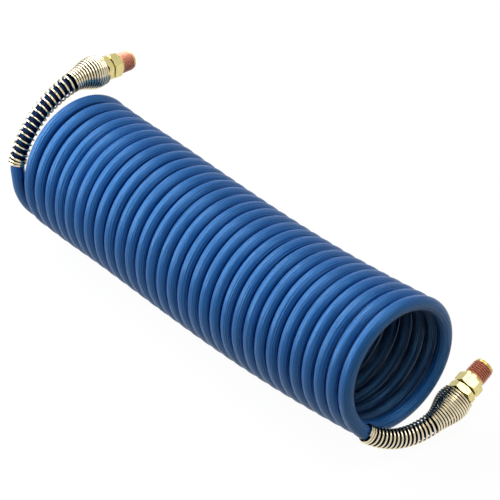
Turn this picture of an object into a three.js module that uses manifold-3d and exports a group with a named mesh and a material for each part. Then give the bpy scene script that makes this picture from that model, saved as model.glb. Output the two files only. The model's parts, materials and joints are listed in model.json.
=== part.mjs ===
// Coiled air hose: a self-retracting nylon coil. Each end runs through a barrel-shaped spring
// guard into a brass swivel fitting with a male tapered pipe thread.
// Millimetres, +Z up. The coil's axis runs along X, end A at -X and end B at +X.

import * as THREE from 'three';
import { mergeVertices } from 'three/addons/utils/BufferGeometryUtils.js';
import Module from 'manifold-3d';

const wasm = await Module();
wasm.setup();

// ---------------------------------------------------------------- driving dimensions

const HOSE_OD = 9.5;
const HOSE_ID = 6.35;

const COIL_TURNS = 30;            // from the left side of end A's turn to that of end B's
const COIL_PITCH = 10.83;
const COIL_MEAN_RADIUS = 43.6;
const COIL_END_RISE = 7.6;        // the coil sags: its ends lie this much above its middle
const COIL_GROOVE_DEPTH = 2.8;    // between neighbouring turns, on the coil's outline
const TURN_CREST_SHARE = 0.4;     // of a turn's width, round which the outline is level

const SEAT_GAP = 0.3;             // between neighbours that touch on the real hose
const WIRE_DIAMETER = 1.4;
const WIRE_STEP = 5.3;             // length of one straight step of the faceted wire

const GUARD_CLOSED_TURNS = 2;     // at the narrow end
const GUARD_OPEN_TURNS = 16;
const GUARD_BARREL_TURNS = 14;
const GUARD_CLOSED_PITCH = 1.8;
const GUARD_NECK_GROWTH = 0.9;    // the open part flares by this much in radius
const GUARD_BARREL_OD = 23.2;
const GUARD_SEAT_LIFT = 0.6;      // the last turn stands off the nut's tail by this much
const GUARD_CREST_SHARE = 0.3;    // of the barrel's length, from the collar to its widest turn

const HEX_ACROSS_FLATS = 15.9;
const HEX_CHAMFER = 1.1;
const COLLAR_LENGTH = 4.7;
const NUT_TAIL_LENGTH = 12;
const NUT_TAIL_WALL = 1.5;
const NUT_WEB = 1.1;              // the collar's front wall, which the insert passes through

const FERRULE_WALL = 0.7;
const FERRULE_LENGTH = 10.5;

const INSERT_BORE = 3.8;
const BARB_VALLEY_WALL = 0.55;
const BARB_LENGTH = 12;
const BARB_COUNT = 3;
const BARB_CREST_SHARE = 0.75;    // of a barb's length, from its valley to its crest
const FLANGE_THICKNESS = 1.6;
const FLANGE_RADIUS = 5.4;
const SHANK_RADIUS = 4.1;         // the spigot that the stem turns on
const SPIGOT_LENGTH = 8.6;        // ahead of the collar

const O_RING_SECTION = 1.2;
const O_RING_PLAY = 0.1;          // radial, on both sides of the ring
const O_RING_GROOVE_WIDTH = 1.9;
const O_RING_PLACE = 3.4;         // groove centre ahead of the collar
const SNAP_WIRE = 0.7;
const SNAP_GROOVE_WIDTH = 1.3;
const SNAP_GROOVE_DEPTH = 0.7;
const SNAP_PLACE = 6.4;           // groove centre ahead of the collar
const SNAP_OPENING = Math.PI / 4;

const SWIVEL_GAP = 1.1;           // the dark line between collar and hexagon
const WASHER_THICKNESS = 0.5;
const WASHER_OD = 14.2;

const STEM_HEX_LENGTH = 6.6;
const STEM_NECK_LENGTH = 2.2;
const STEM_NECK_RADIUS = 6.9;
const THREAD_LENGTH = 11.4;
const THREAD_OD = 13.7;           // quarter-inch taper pipe thread at its large end
const THREAD_TAPER = 1 / 16;      // on diameter
const THREAD_TIP_CHAMFER = 1;
const STEM_BORE = 6.4;
const BEARING_CLEARANCE = 0.3;    // spigot in stem, radial

const ROUND_STEPS = 24;
const SMALL_ROUND_STEPS = 14;
const COIL_ROUND_STEPS = 18;
const HOSE_SIDES = 8;
const WIRE_SIDES = 4;
const O_RING_SIDES = 6;
const SNAP_WIRE_SIDES = 5;
const SNAP_RING_STEPS = 14;
const TAIL_STEPS = 44;
const TURN_POINTS = 32;           // on the centreline of a tail's last turn
const PATH_SAMPLES = 4000;
const CUT_MARGIN = 2;             // by which a cutting solid runs past what it cuts

// Each tail leaves the coil and runs through its guard to the fitting. The points lie on the
// hose's centreline, in order from the coil, and the guard starts at one of them. The face is
// the middle of the collar's rear face. Each place is given in hose diameters beyond the
// coil's end, and in coil radii across and above the coil's axis.
const TAIL_A = {
  name: 'a',
  lastTurn: 0,
  towardCoil: 1,
  route: [
    [0.163, -0.984, 0.201], [0.184, -0.922, 0.368], [0.216, -0.837, 0.519],
    [0.247, -0.729, 0.657], [0.332, -0.463, 0.909], [0.416, -0.14, 1.075],
    [0.468, 0.06, 1.139], [0.532, 0.287, 1.166],
  ],
  guardPoint: 0,
  face: [0.626, 0.766, 1.139],
  axis: [-0.045, 0.994, -0.098],
};
const TAIL_B = {
  name: 'b',
  lastTurn: COIL_TURNS,
  towardCoil: -1,
  route: [
    [0.153, -0.849, -0.526], [0.353, -0.693, -0.726], [0.542, -0.583, -0.818],
    [0.753, -0.433, -0.907], [0.942, -0.245, -0.985], [1.132, 0.032, -1.036],
    [1.237, 0.255, -1.026], [1.3, 0.472, -0.976],
  ],
  guardPoint: 1,
  face: [1.127, 0.977, -0.783],
  axis: [-0.072, 0.91, 0.408],
};

// ---------------------------------------------------------------- derived sizes

const hoseRadius = HOSE_OD / 2;
const wireRadius = WIRE_DIAMETER / 2;
const coilOuterRadius = COIL_MEAN_RADIUS + hoseRadius;
const coilInnerRadius = COIL_MEAN_RADIUS - hoseRadius;
const coilHalfLength = (COIL_TURNS * COIL_PITCH) / 2;

const ferruleInner = hoseRadius + SEAT_GAP;
const ferruleOuter = ferruleInner + FERRULE_WALL;
const nutBore = ferruleOuter + SEAT_GAP;
const nutTailRadius = nutBore + NUT_TAIL_WALL;
const flangeFront = COLLAR_LENGTH - NUT_WEB - SEAT_GAP;
const flangeBack = flangeFront - FLANGE_THICKNESS;
const hoseEnd = flangeBack - SEAT_GAP;

const stemRear = COLLAR_LENGTH + SWIVEL_GAP;
const stemHexFront = stemRear + STEM_HEX_LENGTH;
const stemNeckFront = stemHexFront + STEM_NECK_LENGTH;
const stemTip = stemNeckFront + THREAD_LENGTH;
const stemBearing = SHANK_RADIUS + BEARING_CLEARANCE;
const spigotFront = COLLAR_LENGTH + SPIGOT_LENGTH;
const oRingGrooveDepth = O_RING_SECTION + 2 * O_RING_PLAY - BEARING_CLEARANCE;
const counterboreFloor = spigotFront + 2 * SEAT_GAP;

const facetSag = (step, radius) => (step * step) / (8 * radius);
const guardEndRadius = hoseRadius + SEAT_GAP + wireRadius + facetSag(WIRE_STEP, hoseRadius);
const guardNeckRadius = guardEndRadius + GUARD_NECK_GROWTH;
const guardBarrelRadius = GUARD_BARREL_OD / 2 - wireRadius;
const guardSeatRadius = nutTailRadius + GUARD_SEAT_LIFT + wireRadius;
const guardBarrelLength = GUARD_BARREL_TURNS * GUARD_CLOSED_PITCH;
const guardClosedLength = GUARD_CLOSED_TURNS * GUARD_CLOSED_PITCH;

// ---------------------------------------------------------------- materials

const finish = (color, roughness, metalness) => ({ color, roughness, metalness });
const NYLON = finish(0x1955a5, 0.25, 0);
const PLATED_WIRE = finish(0xd8d0a8, 0.2, 1);
const BRASS = finish(0xe0c26a, 0.3, 1);
const COATED_BRASS = finish(0xd9a866, 0.4, 1);
const CRIMPED_STEEL = finish(0xb9bcc0, 0.4, 1);
const NITRILE = finish(0x16171a, 0.8, 0);
const DARK_ACETAL = finish(0x1b1c1f, 0.5, 0);

const part = new THREE.Group();

function piece(name, geometry, material, parent = part) {
  const mesh = new THREE.Mesh(geometry, new THREE.MeshStandardMaterial(material));
  mesh.name = name;
  parent.add(mesh);
  return mesh;
}

// ---------------------------------------------------------------- solids

// Revolves a closed outline of [radius, height] points about Y. The outline runs
// anticlockwise in that plane, so that the faces point out.
function turned(outline, steps) {
  const points = outline.map(([radius, height]) => new THREE.Vector2(radius, height));
  const loop = THREE.ShapeUtils.area(points) > 0 ? points : points.reverse();
  loop.push(loop[0].clone());
  return new THREE.LatheGeometry(loop, steps);
}

// A solid of revolution whose outline starts and ends on the axis.
function turnedBlank(outline, steps) {
  const points = outline.map(([radius, height]) => new THREE.Vector2(radius, height));
  return new THREE.LatheGeometry(points, steps);
}

function solidOf(geometry) {
  const bare = geometry.clone();
  bare.deleteAttribute('normal');
  bare.deleteAttribute('uv');
  const merged = mergeVertices(bare, 1e-4);
  const kept = [];
  const index = merged.index.array;
  for (let i = 0; i < index.length; i += 3) {
    const [a, b, c] = index.slice(i, i + 3);
    if (a !== b && b !== c && c !== a) {
      kept.push(a, b, c);
    }
  }
  return new wasm.Manifold(new wasm.Mesh({
    numProp: 3,
    vertProperties: merged.attributes.position.array,
    triVerts: new Uint32Array(kept),
  }));
}

function geometryOf(solid) {
  const mesh = solid.getMesh();
  const geometry = new THREE.BufferGeometry();
  geometry.setAttribute('position', new THREE.BufferAttribute(mesh.vertProperties, 3));
  geometry.setIndex(new THREE.BufferAttribute(mesh.triVerts, 1));
  return geometry;
}

// A hexagon along Y whose corners are turned off to a chamfer at one end or both.
function chamferedHexagon(rear, front, chamferRear, chamferFront) {
  const corner = HEX_ACROSS_FLATS / 2 / Math.cos(Math.PI / 6);
  const length = front - rear;
  const prism = new THREE.CylinderGeometry(corner, corner, length, 6);
  prism.translate(0, rear + length / 2, 0);
  const rise = HEX_CHAMFER * Math.tan(Math.PI / 6);
  const rearRadius = chamferRear ? corner - HEX_CHAMFER : corner;
  const frontRadius = chamferFront ? corner - HEX_CHAMFER : corner;
  const blank = turnedBlank([
    [0, rear],
    [rearRadius, rear],
    [corner + SEAT_GAP, rear + (chamferRear ? rise : 0) + SEAT_GAP / 2],
    [corner + SEAT_GAP, front - (chamferFront ? rise : 0) - SEAT_GAP / 2],
    [frontRadius, front],
    [0, front],
  ], ROUND_STEPS);
  return solidOf(prism).intersect(solidOf(blank));
}

function roundSection(radius, sides) {
  const shape = new THREE.Shape();
  for (let i = 0; i < sides; i += 1) {
    const angle = (2 * Math.PI * i) / sides;
    const point = [radius * Math.cos(angle), radius * Math.sin(angle)];
    if (i === 0) {
      shape.moveTo(...point);
    } else {
      shape.lineTo(...point);
    }
  }
  shape.closePath();
  return shape;
}

function swept(path, radius, sides, steps) {
  return new THREE.ExtrudeGeometry(roundSection(radius, sides), {
    extrudePath: path,
    steps,
    curveSegments: 1,
    bevelEnabled: false,
  });
}

// ---------------------------------------------------------------- the hose

const sagHeight = (x) => coilOuterRadius + COIL_END_RISE * (x / coilHalfLength) ** 2;

const ROOM_STEPS = Math.ceil(COIL_ROUND_STEPS / 2) + 1;
const ROOM_SHARE = ROOM_STEPS / COIL_ROUND_STEPS;
const turnX = (turn) => (turn - COIL_TURNS / 2) * COIL_PITCH;
const turnAngle = (turn) => Math.PI + 2 * Math.PI * turn;

// A right-handed helix about X. Turn 0 and every whole turn lie on the coil's left side.
function coilPoint(turn) {
  const x = turnX(turn);
  const angle = turnAngle(turn);
  return new THREE.Vector3(
    x,
    COIL_MEAN_RADIUS * Math.cos(angle),
    sagHeight(x) + COIL_MEAN_RADIUS * Math.sin(angle),
  );
}

// Over half a turn of the room that a tail's last turn takes beside the wound ones. A box is
// bent round the coil's axis, and its inner face follows the helix at the hose's clearance.
function lastTurnRoom(tail, firstTurn) {
  const room = new THREE.BoxGeometry(1, 1, 1, 1, ROOM_STEPS, 1);
  const position = room.attributes.position;
  const clearance = hoseRadius + SEAT_GAP;
  const far = coilHalfLength + CUT_MARGIN;
  for (let i = 0; i < position.count; i += 1) {
    const turn = firstTurn + (position.getY(i) + 0.5) * ROOM_SHARE;
    const radius = COIL_MEAN_RADIUS + 2 * position.getX(i) * (hoseRadius + CUT_MARGIN);
    const near = turnX(turn) + tail.towardCoil * clearance;
    const [low, high] = tail.towardCoil > 0 ? [-far, near] : [near, far];
    position.setXYZ(
      i,
      THREE.MathUtils.lerp(low, high, position.getZ(i) + 0.5),
      radius * Math.cos(turnAngle(turn)),
      radius * Math.sin(turnAngle(turn)),
    );
  }
  return solidOf(room);
}

// The wound turns as one sleeve of their outer shape, open through the middle. It leaves
// room for the last turn at each end, which is a tube of its own. That tube's cut end stands
// across its first chord, and so leans by half a step. The sleeve's flats touch the turns'
// true circle, and it lies on one of them.
function coilSleeve() {
  const halfLength = coilHalfLength - hoseRadius - SEAT_GAP;
  const rings = COIL_TURNS - 1;
  const ringPitch = (2 * halfLength) / rings;
  const slope = ((1 - TURN_CREST_SHARE) / 2) * ringPitch;
  const halfStep = Math.PI / COIL_ROUND_STEPS;
  const crestRadius = coilOuterRadius / Math.cos(halfStep);
  const grooveRadius = crestRadius - COIL_GROOVE_DEPTH;
  const outline = [[coilInnerRadius, halfLength], [coilInnerRadius, -halfLength]];
  for (let ring = 0; ring < rings; ring += 1) {
    const start = -halfLength + ring * ringPitch;
    outline.push([grooveRadius, start]);
    outline.push([crestRadius, start + slope]);
    outline.push([crestRadius, start + ringPitch - slope]);
  }
  outline.push([grooveRadius, halfLength]);
  const blank = turned(outline, COIL_ROUND_STEPS);
  blank.rotateZ(-Math.PI / 2);
  blank.rotateX(halfStep);
  const tilt = Math.PI / TURN_POINTS;
  const seat = SEAT_GAP + hoseRadius * Math.tan(tilt);
  const seatShare = seat / (2 * Math.PI * coilInnerRadius);
  let sleeve = solidOf(blank);
  [TAIL_A, TAIL_B].forEach((tail) => {
    const first = Math.min(tail.lastTurn, tail.lastTurn + tail.towardCoil)
      + tail.towardCoil * seatShare;
    const second = first + 1 - ROOM_SHARE;
    sleeve = sleeve.subtract(lastTurnRoom(tail, first)).subtract(lastTurnRoom(tail, second));
  });
  const geometry = geometryOf(sleeve);
  const position = geometry.attributes.position;
  for (let i = 0; i < position.count; i += 1) {
    position.setZ(i, position.getZ(i) + sagHeight(position.getX(i)));
  }
  return geometry;
}

function besideCoil(tail, [beyond, across, above]) {
  return new THREE.Vector3(
    -tail.towardCoil * (coilHalfLength + beyond * HOSE_OD),
    across * COIL_MEAN_RADIUS,
    sagHeight(coilHalfLength) + above * COIL_MEAN_RADIUS,
  );
}

function axisOf(tail) {
  return new THREE.Vector3(...tail.axis).normalize();
}

function onAxis(tail, distance) {
  return besideCoil(tail, tail.face).addScaledVector(axisOf(tail), distance);
}

// The free end of the hose: its last turn, the bend inside the guard, and the straight
// stretch that sits in the fitting.
function tailPath(tail) {
  const points = [];
  for (let i = 0; i <= TURN_POINTS; i += 1) {
    points.push(coilPoint(tail.lastTurn + tail.towardCoil * (1 - i / TURN_POINTS)));
  }
  tail.route.forEach((place) => points.push(besideCoil(tail, place)));
  points.push(onAxis(tail, -NUT_TAIL_LENGTH));
  points.push(onAxis(tail, -NUT_TAIL_LENGTH / 2));
  points.push(onAxis(tail, hoseEnd));
  const path = new THREE.CatmullRomCurve3(points);
  path.arcLengthDivisions = PATH_SAMPLES;
  return path;
}

function hoseTail(tail, path) {
  const tube = solidOf(swept(path, hoseRadius, HOSE_SIDES, TAIL_STEPS));
  const boreLength = BARB_LENGTH + 2 * SEAT_GAP;
  const bore = new THREE.CylinderGeometry(HOSE_ID / 2, HOSE_ID / 2, 2 * boreLength, SMALL_ROUND_STEPS);
  bore.applyQuaternion(axisTurn(tail));
  const middle = onAxis(tail, hoseEnd);
  bore.translate(middle.x, middle.y, middle.z);
  return geometryOf(tube.subtract(solidOf(bore)));
}

function axisTurn(tail) {
  return new THREE.Quaternion().setFromUnitVectors(new THREE.Vector3(0, 1, 0), axisOf(tail));
}

// ---------------------------------------------------------------- the spring guard

const smooth = (t) => 0.5 - 0.5 * Math.cos(Math.PI * Math.min(Math.max(t, 0), 1));

// Radius of the wire's centre, at a distance back from the collar.
function guardRadius(back, length) {
  const crest = GUARD_CREST_SHARE * guardBarrelLength;
  if (back < crest) {
    return THREE.MathUtils.lerp(guardSeatRadius, guardBarrelRadius, smooth(back / crest));
  }
  if (back < guardBarrelLength) {
    const t = (back - crest) / (guardBarrelLength - crest);
    return THREE.MathUtils.lerp(guardBarrelRadius, guardNeckRadius, smooth(t));
  }
  const left = 1 - (back - guardBarrelLength) / (length - guardBarrelLength);
  return THREE.MathUtils.lerp(guardEndRadius, guardNeckRadius, Math.max(left, 0) ** 2);
}

// One wire wound round the hose: close turns over the nut's tail, open turns along the
// bend, and closed turns at the narrow end.
class GuardWire extends THREE.Curve {
  constructor(path, from, to) {
    super();
    this.path = path;
    this.from = from;
    this.to = to;
    this.length = (to - from) * path.getLength();
    this.turns = GUARD_BARREL_TURNS + GUARD_OPEN_TURNS + GUARD_CLOSED_TURNS;
    this.openPitch = (this.length - guardBarrelLength - guardClosedLength) / GUARD_OPEN_TURNS;
    this.arcLengthDivisions = PATH_SAMPLES;
  }

  distanceBack(turn) {
    const intoOpen = turn - GUARD_BARREL_TURNS;
    if (intoOpen < 0) {
      return turn * GUARD_CLOSED_PITCH;
    }
    const intoClosed = Math.max(intoOpen - GUARD_OPEN_TURNS, 0);
    const open = (intoOpen - intoClosed) * this.openPitch;
    return guardBarrelLength + open + intoClosed * GUARD_CLOSED_PITCH;
  }

  getPoint(t, target = new THREE.Vector3()) {
    const turn = t * this.turns;
    const back = this.distanceBack(turn);
    const u = this.to - (this.to - this.from) * (back / this.length);
    const centre = this.path.getPointAt(u);
    const along = this.path.getTangentAt(u);
    const side = new THREE.Vector3(1, 0, 0).addScaledVector(along, -along.x).normalize();
    const up = new THREE.Vector3().crossVectors(along, side);
    const radius = guardRadius(back, this.length);
    const angle = 2 * Math.PI * turn;
    return target.copy(centre)
      .addScaledVector(side, radius * Math.cos(angle))
      .addScaledVector(up, radius * Math.sin(angle));
  }
}

// The share of the path's length at which it passes nearest to a point.
function shareAt(path, point) {
  let best = 0;
  let nearest = Infinity;
  for (let i = PATH_SAMPLES / 2; i <= PATH_SAMPLES; i += 1) {
    const distance = path.getPointAt(i / PATH_SAMPLES).distanceTo(point);
    if (distance < nearest) {
      nearest = distance;
      best = i / PATH_SAMPLES;
    }
  }
  return best;
}

function springGuard(tail, path) {
  const from = shareAt(path, besideCoil(tail, tail.route[tail.guardPoint]));
  const to = shareAt(path, onAxis(tail, -SEAT_GAP - wireRadius));
  const wire = new GuardWire(path, from, to);
  const steps = Math.round(wire.getLength() / WIRE_STEP);
  return swept(wire, wireRadius, WIRE_SIDES, steps);
}

// ---------------------------------------------------------------- the fitting
// Every piece is turned about Y, with 0 at the collar's rear face and the thread ahead.

function hoseNut() {
  const collar = chamferedHexagon(0, COLLAR_LENGTH, true, true);
  const tail = solidOf(turnedBlank([
    [0, -NUT_TAIL_LENGTH],
    [nutTailRadius - SEAT_GAP, -NUT_TAIL_LENGTH],
    [nutTailRadius, -NUT_TAIL_LENGTH + SEAT_GAP],
    [nutTailRadius, COLLAR_LENGTH / 2],
    [0, COLLAR_LENGTH / 2],
  ], ROUND_STEPS));
  const webRear = COLLAR_LENGTH - NUT_WEB;
  const webBore = SHANK_RADIUS + SEAT_GAP;
  const bore = solidOf(turnedBlank([
    [0, -NUT_TAIL_LENGTH - CUT_MARGIN],
    [nutBore, -NUT_TAIL_LENGTH - CUT_MARGIN],
    [nutBore, webRear],
    [webBore, webRear],
    [webBore, COLLAR_LENGTH + CUT_MARGIN],
    [0, COLLAR_LENGTH + CUT_MARGIN],
  ], ROUND_STEPS));
  return geometryOf(collar.add(tail).subtract(bore));
}

function crimpFerrule() {
  const front = hoseEnd - SEAT_GAP;
  const rear = front - FERRULE_LENGTH;
  const lip = FERRULE_WALL / 2;
  return turned([
    [ferruleInner, rear + lip],
    [ferruleInner + lip, rear],
    [ferruleOuter, rear],
    [ferruleOuter, front],
    [ferruleInner, front],
  ], SMALL_ROUND_STEPS);
}

// The barbs grip the hose's bore, the flange stops in the nut, and the spigot ahead of it
// carries the seal and the snap ring that the stem turns on.
function barbedInsert() {
  const bore = INSERT_BORE / 2;
  const valley = bore + BARB_VALLEY_WALL;
  const crest = HOSE_ID / 2 - SEAT_GAP;
  const barbPitch = BARB_LENGTH / BARB_COUNT;
  const rear = flangeBack - BARB_LENGTH;
  const groove = (place, width, depth) => [
    [SHANK_RADIUS, COLLAR_LENGTH + place - width / 2],
    [SHANK_RADIUS - depth, COLLAR_LENGTH + place - width / 2],
    [SHANK_RADIUS - depth, COLLAR_LENGTH + place + width / 2],
    [SHANK_RADIUS, COLLAR_LENGTH + place + width / 2],
  ];
  const outline = [[bore, rear]];
  for (let barb = 0; barb < BARB_COUNT; barb += 1) {
    const start = rear + barb * barbPitch;
    outline.push([valley, start]);
    outline.push([crest, start + BARB_CREST_SHARE * barbPitch]);
  }
  outline.push(
    [valley, flangeBack],
    [FLANGE_RADIUS, flangeBack],
    [FLANGE_RADIUS, flangeFront],
    [SHANK_RADIUS, flangeFront],
    ...groove(O_RING_PLACE, O_RING_GROOVE_WIDTH, oRingGrooveDepth),
    ...groove(SNAP_PLACE, SNAP_GROOVE_WIDTH, SNAP_GROOVE_DEPTH),
    [SHANK_RADIUS, spigotFront - SEAT_GAP],
    [SHANK_RADIUS - SEAT_GAP, spigotFront],
    [bore, spigotFront],
  );
  return turned(outline, SMALL_ROUND_STEPS);
}

function oRing() {
  const radius = stemBearing - O_RING_PLAY - O_RING_SECTION / 2;
  const ring = new THREE.TorusGeometry(radius, O_RING_SECTION / 2, O_RING_SIDES, SMALL_ROUND_STEPS);
  ring.rotateX(Math.PI / 2);
  ring.translate(0, COLLAR_LENGTH + O_RING_PLACE, 0);
  return ring;
}

// A round-wire ring, open on one side, half in the spigot's groove and half in the stem's.
function retainingRing() {
  const radius = SHANK_RADIUS + BEARING_CLEARANCE / 2;
  const sweep = 2 * Math.PI - SNAP_OPENING;
  const points = [];
  for (let i = 0; i <= SNAP_RING_STEPS; i += 1) {
    const angle = SNAP_OPENING / 2 + (sweep * i) / SNAP_RING_STEPS;
    points.push(new THREE.Vector3(
      radius * Math.cos(angle),
      COLLAR_LENGTH + SNAP_PLACE,
      radius * Math.sin(angle),
    ));
  }
  const circle = new THREE.CatmullRomCurve3(points);
  return swept(circle, SNAP_WIRE / 2, SNAP_WIRE_SIDES, SNAP_RING_STEPS);
}

function thrustWasher() {
  const middle = COLLAR_LENGTH + SWIVEL_GAP / 2;
  const inner = SHANK_RADIUS + SEAT_GAP;
  return turned([
    [inner, middle - WASHER_THICKNESS / 2],
    [WASHER_OD / 2, middle - WASHER_THICKNESS / 2],
    [WASHER_OD / 2, middle + WASHER_THICKNESS / 2],
    [inner, middle + WASHER_THICKNESS / 2],
  ], SMALL_ROUND_STEPS);
}

function swivelStem() {
  const hexagon = chamferedHexagon(stemRear, stemHexFront, true, true);
  const threadRoot = THREAD_OD / 2;
  const threadTip = threadRoot - (THREAD_LENGTH * THREAD_TAPER) / 2;
  const lead = THREAD_TIP_CHAMFER;
  const barrel = solidOf(turnedBlank([
    [0, stemRear + STEM_HEX_LENGTH / 2],
    [STEM_NECK_RADIUS, stemRear + STEM_HEX_LENGTH / 2],
    [STEM_NECK_RADIUS, stemNeckFront - SEAT_GAP],
    [threadRoot, stemNeckFront],
    [threadTip, stemTip - lead],
    [threadTip - lead, stemTip],
    [0, stemTip],
  ], ROUND_STEPS));
  const snap = COLLAR_LENGTH + SNAP_PLACE;
  const snapDepth = stemBearing + SNAP_GROOVE_DEPTH - BEARING_CLEARANCE / 2;
  const bore = solidOf(turnedBlank([
    [0, stemRear - CUT_MARGIN],
    [stemBearing, stemRear - CUT_MARGIN],
    [stemBearing, snap - SNAP_GROOVE_WIDTH / 2],
    [snapDepth, snap - SNAP_GROOVE_WIDTH / 2],
    [snapDepth, snap + SNAP_GROOVE_WIDTH / 2],
    [stemBearing, snap + SNAP_GROOVE_WIDTH / 2],
    [stemBearing, counterboreFloor],
    [STEM_BORE / 2, counterboreFloor],
    [STEM_BORE / 2, stemTip + CUT_MARGIN],
    [0, stemTip + CUT_MARGIN],
  ], ROUND_STEPS));
  return geometryOf(hexagon.add(barrel).subtract(bore));
}

// ---------------------------------------------------------------- assembly

piece('hose_coil', coilSleeve(), NYLON);

[TAIL_A, TAIL_B].forEach((tail) => {
  const path = tailPath(tail);
  piece(`hose_tail_${tail.name}`, hoseTail(tail, path), NYLON);
  piece(`spring_guard_${tail.name}`, springGuard(tail, path), PLATED_WIRE);

  const fitting = new THREE.Group();
  fitting.position.copy(onAxis(tail, 0));
  fitting.quaternion.copy(axisTurn(tail));
  part.add(fitting);
  piece(`hose_nut_${tail.name}`, hoseNut(), BRASS, fitting);
  piece(`crimp_ferrule_${tail.name}`, crimpFerrule(), CRIMPED_STEEL, fitting);
  piece(`barbed_insert_${tail.name}`, barbedInsert(), BRASS, fitting);
  piece(`o_ring_${tail.name}`, oRing(), NITRILE, fitting);
  piece(`retaining_ring_${tail.name}`, retainingRing(), CRIMPED_STEEL, fitting);
  piece(`thrust_washer_${tail.name}`, thrustWasher(), DARK_ACETAL, fitting);
  piece(`swivel_stem_${tail.name}`, swivelStem(), COATED_BRASS, fitting);
});

// The origin is under the middle of the whole hose, on the surface that it lies on.
part.updateMatrixWorld(true);
const extent = new THREE.Box3().setFromObject(part, true);
const middle = extent.getCenter(new THREE.Vector3());
part.position.set(-middle.x, -middle.y, -extent.min.z);

export default part;
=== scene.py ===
"""Coiled air hose: a self-retracting coil of blue nylon tube. Each end runs through a barrel-shaped
spring guard into a brass swivel fitting with a male taper pipe thread, most of it coated with sealant.
Metres throughout. The coil's axis runs along X, end A at -X and end B at +X."""

import json
import math

import bpy
import numpy as np
from bpy.props import FloatProperty, FloatVectorProperty, IntProperty, PointerProperty
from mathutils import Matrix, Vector


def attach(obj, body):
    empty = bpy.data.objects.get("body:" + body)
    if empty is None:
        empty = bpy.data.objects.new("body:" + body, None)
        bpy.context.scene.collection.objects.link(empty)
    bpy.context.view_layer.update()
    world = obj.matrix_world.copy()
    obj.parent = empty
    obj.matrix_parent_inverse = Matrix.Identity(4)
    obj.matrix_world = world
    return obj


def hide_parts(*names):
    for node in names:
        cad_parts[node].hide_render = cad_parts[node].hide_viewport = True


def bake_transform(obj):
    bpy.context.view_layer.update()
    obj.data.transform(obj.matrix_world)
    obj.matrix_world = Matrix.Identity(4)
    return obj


bl_info = {
    "name": "Coiled air hose",
    "version": (1, 0, 0),
    "blender": (4, 5, 0),
    "location": "3D View > Sidebar > Air Hose",
    "description": "Builds a coiled nylon air hose with spring guards and brass swivel fittings",
    "category": "Add Mesh",
}

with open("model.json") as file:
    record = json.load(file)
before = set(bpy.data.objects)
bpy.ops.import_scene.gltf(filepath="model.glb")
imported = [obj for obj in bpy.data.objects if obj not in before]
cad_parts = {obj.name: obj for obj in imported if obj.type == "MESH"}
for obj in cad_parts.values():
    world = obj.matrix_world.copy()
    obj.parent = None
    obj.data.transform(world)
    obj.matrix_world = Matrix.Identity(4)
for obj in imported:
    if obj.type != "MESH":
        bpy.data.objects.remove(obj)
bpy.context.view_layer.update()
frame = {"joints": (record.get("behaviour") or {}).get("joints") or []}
JOINTS = {joint["name"]: joint for joint in frame["joints"]}
MM = 0.001

# -------------------- sizes shared by several pieces

HOSE_RADIUS = 9.5 * MM / 2
HOSE_BORE_RADIUS = 6.35 * MM / 2
WIRE_RADIUS = 1.4 * MM / 2
SEAT_GAP = 0.3 * MM
EDGE = 0.15 * MM  # broken edges

COIL_TURNS = 30
COIL_PITCH = 10.83 * MM
COIL_MEAN_RADIUS = 43.6 * MM
COIL_END_RISE = 7.6 * MM  # the coil sags: its ends lie this much above its middle
COIL_SWAY = 1.28 * MM  # sideways, in one long wave
COIL_HALF_LENGTH = COIL_TURNS * COIL_PITCH / 2
COIL_END_AXIS = COIL_MEAN_RADIUS + HOSE_RADIUS + COIL_END_RISE  # height of the axis at its ends
SET_OFF = 3 * MM  # the first turns at end A stand off from the very last one by this much
SET_OFF_DROP = 1.4 * MM  # and lie this much lower
SET_OFF_TURNS = (1, 2.5, 7.5)  # full from the first, fading from the second to the third
TURN_POINTS = 32  # knots of the centreline for each turn
SPAN_POINTS = 12  # points of its spline for each knot

HEX_ACROSS_FLATS = 15.9 * MM
HEX_CHAMFER = 1.1 * MM
COLLAR_LENGTH = 4.7 * MM
NUT_TAIL_LENGTH = 12 * MM
NUT_TAIL_WALL = 1.5 * MM
NUT_WEB = 1.1 * MM
FERRULE_WALL = 0.7 * MM
FERRULE_LENGTH = 10.5 * MM
INSERT_BORE = 3.8 * MM
BARB_VALLEY_WALL = 0.55 * MM
BARB_LENGTH = 12 * MM
BARB_COUNT = 3
BARB_CREST_SHARE = 0.75
FLANGE_THICKNESS = 1.6 * MM
FLANGE_RADIUS = 5.4 * MM
SHANK_RADIUS = 4.1 * MM
SPIGOT_LENGTH = 8.6 * MM
O_RING_SECTION = 1.2 * MM
O_RING_PLAY = 0.1 * MM
O_RING_GROOVE_WIDTH = 1.9 * MM
O_RING_PLACE = 3.4 * MM
SNAP_WIRE = 0.7 * MM
SNAP_GROOVE_WIDTH = 1.3 * MM
SNAP_GROOVE_DEPTH = 0.7 * MM
SNAP_PLACE = 6.4 * MM
SNAP_OPENING = math.pi / 4
SWIVEL_GAP = 1.1 * MM
WASHER_THICKNESS = 0.5 * MM
WASHER_OD = 14.2 * MM
STEM_HEX_LENGTH = 6.6 * MM
STEM_NECK_LENGTH = 2.2 * MM
STEM_NECK_RADIUS = 6.9 * MM
THREAD_LENGTH = 11.4 * MM
THREAD_OD = 13.7 * MM
THREAD_TAPER = 1 / 16  # on diameter
THREAD_TIP_CHAMFER = 1 * MM
STEM_BORE = 6.4 * MM
BEARING_CLEARANCE = 0.3 * MM
NECK_CHAMFER = 0.3 * MM
NECK_STEP = 0.1 * MM  # from the neck's chamfer to the thread

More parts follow.
